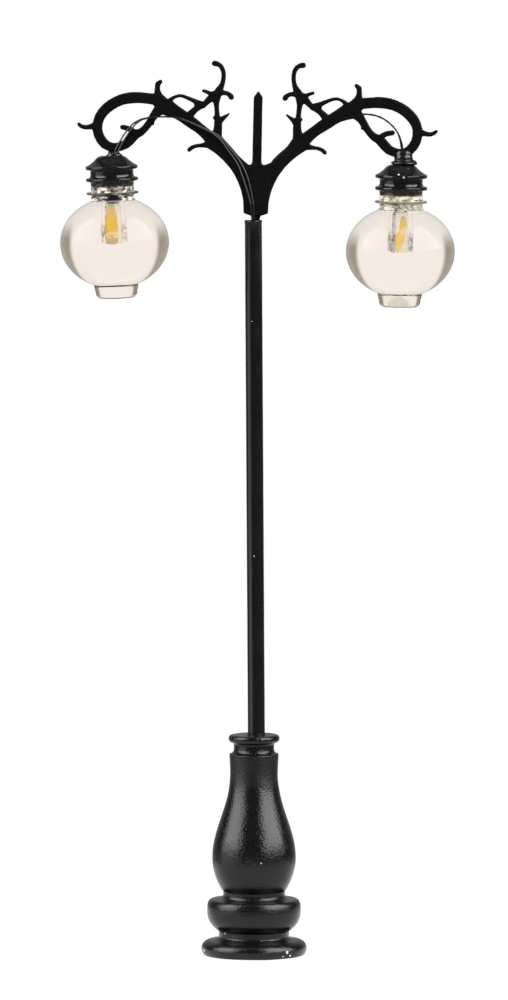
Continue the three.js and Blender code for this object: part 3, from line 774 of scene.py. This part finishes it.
def turned(points, segments=ROUND_SEGMENTS, closed=False, axis=None):
    """Vertices and faces of a body of revolution. Points on the axis become one vertex.

    The path runs upwards on the outside. axis gives the centre (x, y) of each point's ring, if not (0, 0).
    """
    vertices, rings = [], []
    for i, (radius, height) in enumerate(points):
        cx, cy = axis[i] if axis else (0.0, 0.0)
        if radius < 1e-6:
            rings.append([len(vertices)] * segments)
            vertices.append((cx, cy, height))
            continue
        rings.append(list(range(len(vertices), len(vertices) + segments)))
        for k in range(segments):
            angle = 2 * math.pi * k / segments
            vertices.append((cx + radius * math.cos(angle), cy + radius * math.sin(angle), height))
    pairs = list(zip(rings, rings[1:] + rings[:1])) if closed else list(zip(rings, rings[1:]))
    faces = []
    for low, high in pairs:
        for k in range(segments):
            corners = [low[k], low[(k + 1) % segments], high[(k + 1) % segments], high[k]]
            corners = list(dict.fromkeys(corners))
            if len(corners) > 2:
                faces.append(corners)
    return vertices, faces


# Blender's vector noise starts from the clock unless it is seeded, and then no two runs are alike.
NOISE_SEED = 1
# How uneven each surface is: the depth of its waves, their size, and where they are taken from the noise.
WAVES = {
    "base": (0.02, 1.6, 1),
    "pole": (0.008, 2.5, 2),
    "bracket": (0.02, 0.8, 3),
    "cap_left": (0.03, 1.1, 4),
    "cap_right": (0.03, 1.1, 5),
    "hanger_left": (0.07, 1.1, 6),
    "hanger_right": (0.07, 1.1, 7),
    "glue": (0.04, 0.7, 8),
}


def uneven(vertices, surface):
    """The vertices moved by smooth noise, as paint, casting and set glue leave them."""
    depth, size, seed = WAVES[surface]
    shift = Vector((seed * 7.3, seed * 3.1, seed * 5.7))
    return [Vector(v) + noise.noise_vector(Vector(v) / size + shift) * depth for v in vertices]


# ---- Base and pole ----


def pole_axis(height):
    """The pole's centre (x, y) at a height."""
    return (POLE_FOOT.x + math.tan(POLE_LEAN) * (height - POLE_FOOT.z), 0.0)


def base_outline():
    """The outside of the base, from the foot's flat face to the hole for the pole, and its top edge."""
    low, high = node_box("base")
    top = high.z - low.z
    path = Outline(RECESS_RADIUS, 0.0).line((FOOT_FLAT_RADIUS, 0.0))
    path.curve((5.9, 0.5), (5.98, 1.35), (5.0, 1.6))
    path.curve((3.95, 1.65), (3.86, 2.0), steps=8).line((3.86, 2.6))
    path.curve((4.6, 3.1), (5.1, 3.6), (5.14, 4.85))
    path.curve((5.14, 5.3), (5.15, 6.1), (4.6, 6.1))
    path.line((3.7, 6.16)).curve((3.39, 6.25), (3.39, 6.6), steps=8).line((3.39, 6.95))
    path.curve((4.1, 7.95), (4.57, 9.3), (4.57, 10.8), steps=32)
    path.curve((4.57, 13.9), (2.5, 16.4), (2.61, 20.4), steps=64)
    path.line((2.7, 22.08)).curve((2.24, 22.2), (2.2, 22.6), steps=8).line((2.2, 23.05))
    path.curve((2.2, 23.3), (2.45, 23.36), steps=6)
    path.curve((2.9, 23.45), (2.9, top), (2.45, top), steps=24)
    path.line((COLLAR_PAINT_RADIUS, top))
    path.curve((1.05, top), (POLE_RADIUS + FIT_GAP, top + 0.14), steps=6)
    return path.rounded(0.12)


def base_axis(points, outside, bore):
    """The centre of each ring: the socket and the paint round the pole follow the pole as it leans."""
    axis = [pole_axis(z) if r <= bore and z > RECESS_DEPTH / 2 else (0.0, 0.0) for r, z in points]
    top = outside[-1][1]
    for i, (radius, height) in enumerate(outside):
        if radius < COLLAR_PAINT_RADIUS and height > top - 1:
            share = (COLLAR_PAINT_RADIUS - radius) / (COLLAR_PAINT_RADIUS - bore)
            axis[i] = (pole_axis(height)[0] * min(1.0, share), 0.0)
    return axis


def make_base(materials):
    outside = base_outline().points
    bore = POLE_RADIUS + FIT_GAP
    inside = [(bore, SOCKET_FLOOR), (CHANNEL_RADIUS, SOCKET_FLOOR), (CHANNEL_RADIUS, RECESS_DEPTH)]
    inside.append((RECESS_RADIUS, RECESS_DEPTH))
    points = outside + inside
    vertices, faces = turned(points, closed=True, axis=base_axis(points, outside, bore))
    vertices = [(x, y, max(0.0, z)) for x, y, z in uneven(vertices, "base")]
    add_piece("base_turning", vertices, faces, materials["base_paint"], ["base"])


def make_pole(materials):
    """The tube, with paint run into a bead round its upper rim."""
    top = POLE_LENGTH
    points = [(POLE_BORE_RADIUS, FIT_GAP), (POLE_RADIUS, FIT_GAP)]
    steps = 60
    points += [(POLE_RADIUS, FIT_GAP + (top - 0.3) * i / steps) for i in range(1, steps)]
    rim = [(POLE_RADIUS, top - 0.25), (POLE_RADIUS + 0.05, top - 0.12), (POLE_RADIUS + 0.02, top)]
    points += rim + [(POLE_BORE_RADIUS + 0.03, top), (POLE_BORE_RADIUS, top - 0.1)]
    vertices, faces = turned(points, TUBE_SEGMENTS, closed=True)
    add_piece(
        "pole_tube", uneven(vertices, "pole"), faces, materials["pole_paint"], ["pole"],
        pole_matrix(),
    )


# ---- Bracket ----

# The size of the voxels, how often the skin is smoothed, and the thickness of paint put back on it.
BRACKET_VOXEL = 0.075
BRACKET_SMOOTHING = 10
BRACKET_SWELL = 0.04


def remeshed(name, vertices, faces, voxel, smoothing, swell=0.0):
    """One closed skin round a solid in millimetres, remeshed at a voxel size, smoothed and swollen."""
    mesh = bpy.data.meshes.new(name)
    mesh.from_pydata([tuple(v) for v in vertices], [], faces)
    temporary = bpy.data.objects.new(name, mesh)
    bpy.context.scene.collection.objects.link(temporary)
    remesh = temporary.modifiers.new("remesh", "REMESH")
    remesh.mode = "VOXEL"
    remesh.voxel_size = voxel
    smooth = temporary.modifiers.new("smooth", "SMOOTH")
    smooth.factor = 0.5
    smooth.iterations = smoothing
    graph = bpy.context.evaluated_depsgraph_get()
    result = temporary.evaluated_get(graph).to_mesh()
    moved = [Vector(v.co) + Vector(v.normal) * swell for v in result.vertices]
    faces = [list(p.vertices) for p in result.polygons]
    bpy.data.objects.remove(temporary)
    return moved, faces


def make_bracket(frame, materials):
    source = frame["nodes"]["bracket"].data
    vertices = [v.co / MM for v in source.vertices]
    faces = [list(p.vertices) for p in source.polygons]
    vertices, faces = remeshed(
        "bracket_rough", vertices, faces, BRACKET_VOXEL, BRACKET_SMOOTHING, BRACKET_SWELL
    )
    add_piece(
        "bracket_casting", uneven(vertices, "bracket"), faces, materials["bracket_black"],
        ["bracket"],
    )


# ---- Lamps ----


def add_ring(path, height, lacquer=0.0):
    """A ring's edge on the neck, from below to above, thicker by its lacquer on each side."""
    path.line(
        (NECK_RADIUS, height - RING_HALF_HEIGHT - lacquer),
        (RING_RADIUS, height - RING_EDGE_HALF_HEIGHT - lacquer),
        (RING_RADIUS, height + RING_EDGE_HALF_HEIGHT + lacquer),
        (NECK_RADIUS, height + RING_HALF_HEIGHT + lacquer),
    )


def globe_arc(low, high, steps=72):
    """Points on the globe's outside between two radii, the low one under its centre."""
    start, end = -math.acos(low / GLOBE_RADIUS), math.acos(high / GLOBE_RADIUS)
    angles = [start + (end - start) * i / steps for i in range(steps + 1)]
    return [(GLOBE_RADIUS * math.cos(a), GLOBE_HALF_HEIGHT * math.sin(a)) for a in angles]


def is_bore(radius, height):
    return radius < BORE_RADIUS + 0.07 and height > BORE_TIP - 0.01


def is_lacquered(radius, height):
    return radius < NECK_RADIUS and height > LACQUER_CLEAR_TO


def make_globe(side, materials, matrix):
    """The clear moulding. The bore's wall and the lacquered core have materials of their own."""
    core = COAT_INNER_RADIUS - FIT_GAP
    path = Outline(0.0, STUB_BOTTOM).line((STUB_FLAT_RADIUS, STUB_BOTTOM))
    path.curve((2.2, STUB_BOTTOM), (2.25, STUB_BOTTOM + 0.6), steps=8)
    path.line(*globe_arc(STUB_RADIUS, NECK_RADIUS + NECK_FILLET))
    neck_foot = globe_arc(STUB_RADIUS, NECK_RADIUS, 1)[-1]
    path.curve(neck_foot, (NECK_RADIUS, neck_foot[1] + NECK_FILLET), steps=8)
    add_ring(path, RING_HEIGHTS[2])
    path.line((NECK_RADIUS, COAT_BOTTOM - FIT_GAP), (core, COAT_BOTTOM - FIT_GAP))
    path.line((core, LACQUER_CLEAR_TO), (core, COAT_CEILING - FIT_GAP))
    path.line((BORE_RADIUS, COAT_CEILING - FIT_GAP), (BORE_RADIUS, 0.0), (0.0, BORE_TIP))
    vertices, faces = turned(path.rounded(0.04).points)
    piece = add_piece(
        f"globe_moulding_{side}", vertices, faces, materials["clear_globe"],
        [f"globe_{side}"], matrix,
    )
    piece.data.materials.append(materials["bore_wetted"])
    piece.data.materials.append(materials["neck_lacquer"])
    for polygon, face in zip(piece.data.polygons, faces):
        corners = [(math.hypot(vertices[i][0], vertices[i][1]), vertices[i][2]) for i in face]
        if all(is_bore(*corner) for corner in corners):
            polygon.material_index = 1
        elif all(is_lacquered(*corner) for corner in corners):
            polygon.material_index = 2


def make_cap(side, materials, matrix):
    """The black coat. Each ring's last point is dropped, so that lacquer slopes in from the ring's edge."""
    path = Outline(COAT_INNER_RADIUS, COAT_CEILING).line((COAT_INNER_RADIUS, COAT_BOTTOM))
    path.line((NECK_RADIUS, COAT_BOTTOM))
    add_ring(path, RING_HEIGHTS[1], RING_LACQUER)
    path.points.pop()
    path.line((2.52, RING_HEIGHTS[1] + 0.22))
    path.curve((NECK_RADIUS, RING_HEIGHTS[1] + 0.3), (NECK_RADIUS, RING_HEIGHTS[1] + 0.65), steps=6)
    add_ring(path, RING_HEIGHTS[0], RING_LACQUER)
    path.points.pop()
    path.curve((2.3, 8.55), (1.75, 9.14), steps=10)
    path.curve((1.55, 9.4), (CAP_TOP_RADIUS, CAP_TOP), steps=6).line((0.0, CAP_TOP))
    outside = path.rounded(0.13).points
    vertices, faces = turned([(0.0, COAT_CEILING)] + outside)
    vertices = uneven(vertices, f"cap_{side}")
    add_piece(
        f"cap_lacquer_{side}", vertices, faces, materials["cap_black"], [f"cap_{side}"], matrix,
    )


def lofted(levels, roundness, segments=LOFT_SEGMENTS):
    """Vertices and faces of an upright body with rounded sides, from near 0 for square to 1 for round.

    Each level is its height, the x and y of its middle, its half width and its half depth.
    """
    vertices = []
    turns = [2 * math.pi * k / segments for k in range(segments)]
    for height, x, y, half_width, half_depth in levels:
        for c, s in ((math.cos(a), math.sin(a)) for a in turns):
            across = half_width * math.copysign(abs(c) ** roundness, c)
            along = half_depth * math.copysign(abs(s) ** roundness, s)
            vertices.append((x + across, y + along, height))
    faces = [list(reversed(range(segments)))]
    for start in range(0, len(vertices) - segments, segments):
        for k in range(segments):
            low, after = start + k, start + (k + 1) % segments
            faces.append([low, after, after + segments, low + segments])
    faces.append(list(range(len(vertices) - segments, len(vertices))))
    return vertices, faces


# The diode's package and its phosphor: levels of height, x, y, half width and half depth.
LED_PACKAGE = (
    (-0.12, -0.03, 0.0, 0.55, 0.2),
    (-0.08, -0.03, 0.0, 0.64, 0.3),
    (2.8, -0.03, 0.0, 0.64, 0.3),
    (2.9, -0.03, 0.0, 0.55, 0.28),
    (2.93, -0.03, 0.0, 0.4, 0.2),
)
LED_GEL = {
    "left": (
        (-0.14, -0.17, -0.33, 0.2, 0.03),
        (-0.06, -0.17, -0.32, 0.42, 0.08),
        (0.8, -0.19, -0.33, 0.5, 0.13),
        (1.5, -0.19, -0.33, 0.46, 0.13),
        (2.2, -0.17, -0.33, 0.33, 0.12),
        (2.8, -0.15, -0.32, 0.24, 0.1),
        (2.9, -0.15, -0.32, 0.12, 0.03),
    ),
    "right": (
        (-0.1, -0.22, -0.33, 0.06, 0.03),
        (0.2, -0.16, -0.33, 0.24, 0.1),
        (0.7, -0.04, -0.33, 0.36, 0.13),
        (1.0, 0.0, -0.33, 0.34, 0.13),
        (1.2, 0.07, -0.33, 0.26, 0.1),
        (1.65, 0.2, -0.33, 0.3, 0.12),
        (2.2, 0.22, -0.32, 0.24, 0.1),
        (2.55, 0.2, -0.32, 0.12, 0.03),
    ),
}
# The glue plug in each neck: its middle's x, and its radii and heights from below.
GLUE_OUTLINES = {
    "left": (
        -0.1,
        (
            (0.0, 2.98), (0.32, 3.0), (0.44, 3.4), (0.54, 4.4), (0.58, 6.1), (0.85, 6.7), (0.85, 7.9),
            (0.0, 7.9),
        ),
    ),
    "right": (0.0, ((0.0, 4.5), (0.5, 4.55), (0.85, 4.9), (0.9, 5.4), (0.9, 7.9), (0.0, 7.9))),
}


def make_glue(side, materials, matrix):
    middle, outline = GLUE_OUTLINES[side]
    path = Outline(*outline[0]).line(*outline[1:]).rounded(0.2)
    vertices, faces = turned(path.points, TUBE_SEGMENTS, axis=[(middle, 0.0)] * len(path.points))
    add_piece(
        f"glue_plug_{side}", uneven(vertices, "glue"), faces, materials["neck_glue"],
        [f"neck_seal_{side}"], matrix,
    )


def make_led(side, materials, matrix):
    for name, levels, roundness, slot, node in (
        ("led_package", LED_PACKAGE, 0.4, "led_ceramic", "led_body"),
        ("led_gel", LED_GEL[side], 0.7, "led_phosphor", "led_phosphor"),
    ):
        vertices, faces = lofted(levels, roundness)
        add_piece(f"{name}_{side}", vertices, faces, materials[slot], [f"{node}_{side}"], matrix)


def blob(parts):
    """Vertices and faces of stretched balls. Each part is a centre and its half sizes."""
    vertices, faces = [], []
    half_circle = [math.radians(latitude) for latitude in range(-90, 91, 15)]
    for centre, size in parts:
        ball, skin = turned([(math.cos(a), math.sin(a)) for a in half_circle], BALL_SEGMENTS)
        first = len(vertices)
        vertices += [tuple(c + v * s for c, v, s in zip(centre, point, size)) for point in ball]
        faces += [[first + i for i in face] for face in skin]
    return vertices, faces


HANGER_VOXEL = 0.06
HANGER_SMOOTHING = 14
# The glue and lacquer that hold each cap to its scroll: centres and half sizes above the cap's top.
HANGER_BLOBS = {
    "left": (
        ((0.32, 0.0, 0.0), (0.95, 0.75, 0.3)),
        ((0.32, 0.0, 0.35), (0.62, 0.5, 0.38)),
        ((0.05, -0.25, 0.2), (0.35, 0.35, 0.3)),
        ((0.7, -0.2, 0.12), (0.35, 0.35, 0.25)),
    ),
    "right": (
        ((0.3, 0.0, 0.2), (1.5, 1.35, 0.33)),
        ((0.2, 0.0, 0.7), (1.05, 0.95, 0.65)),
        ((0.2, 0.0, 1.15), (1.0, 0.8, 0.65)),
        ((1.35, -0.2, 0.45), (0.3, 0.2, 0.12)),
    ),
}


def make_hanger(side, materials, matrix):
    """Balls of glue and lacquer run together into one bead."""
    vertices, faces = blob(HANGER_BLOBS[side])
    vertices, faces = remeshed(f"hanger_rough_{side}", vertices, faces, HANGER_VOXEL, HANGER_SMOOTHING)
    vertices = uneven(vertices, f"hanger_{side}")
    lifted = matrix @ Matrix.Translation((0.0, 0.0, CAP_TOP))
    add_piece(
        f"hanger_bead_{side}", vertices, faces, materials["bead_black"], [f"hanger_{side}"],
        lifted,
    )


# ---- CAD nodes that stay ----

# What wires each diode: the nodes' names, their slot and the width of their bevelled edges.
WIRED = (
    ("terminal", "terminal_metal", 0.02),
    ("solder", "solder", 0.0),
    ("lead", "lead_enamel", 0.0),
)


def finish_node(frame, materials, node, slot, edge):
    """Gives a CAD node its material and rounds its edges, or smooths it if it has no sharp edges."""
    piece = frame["nodes"][node]
    piece.data.materials.clear()
    piece.data.materials.append(materials[slot])
    if edge:
        bevel = piece.modifiers.new("edges", "BEVEL")
        bevel.width = edge * MM
        bevel.segments = 3
        bevel.limit_method = "ANGLE"
    else:
        piece.data.polygons.foreach_set("use_smooth", [True] * len(piece.data.polygons))


def finish_nodes(frame, side, materials):
    for kind, slot, edge in WIRED:
        for polarity in ("positive", "negative"):
            finish_node(frame, materials, f"{kind}_{side}_{polarity}", slot, edge)


frame, cad_bounds = load_frame()
noise.seed_set(NOISE_SEED)
make_camera()
make_studio()
make_floor()
materials = make_materials()
make_base(materials)
make_pole(materials)
make_bracket(frame, materials)
for side in SIDES:
    placed = lamp_matrix(side)
    lamp = lamp_materials(materials, side, placed)
    make_globe(side, lamp, placed)
    make_cap(side, lamp, placed)
    make_hanger(side, lamp, placed)
    make_led(side, lamp, placed)
    make_glue(side, lamp, placed)
    finish_nodes(frame, side, lamp)
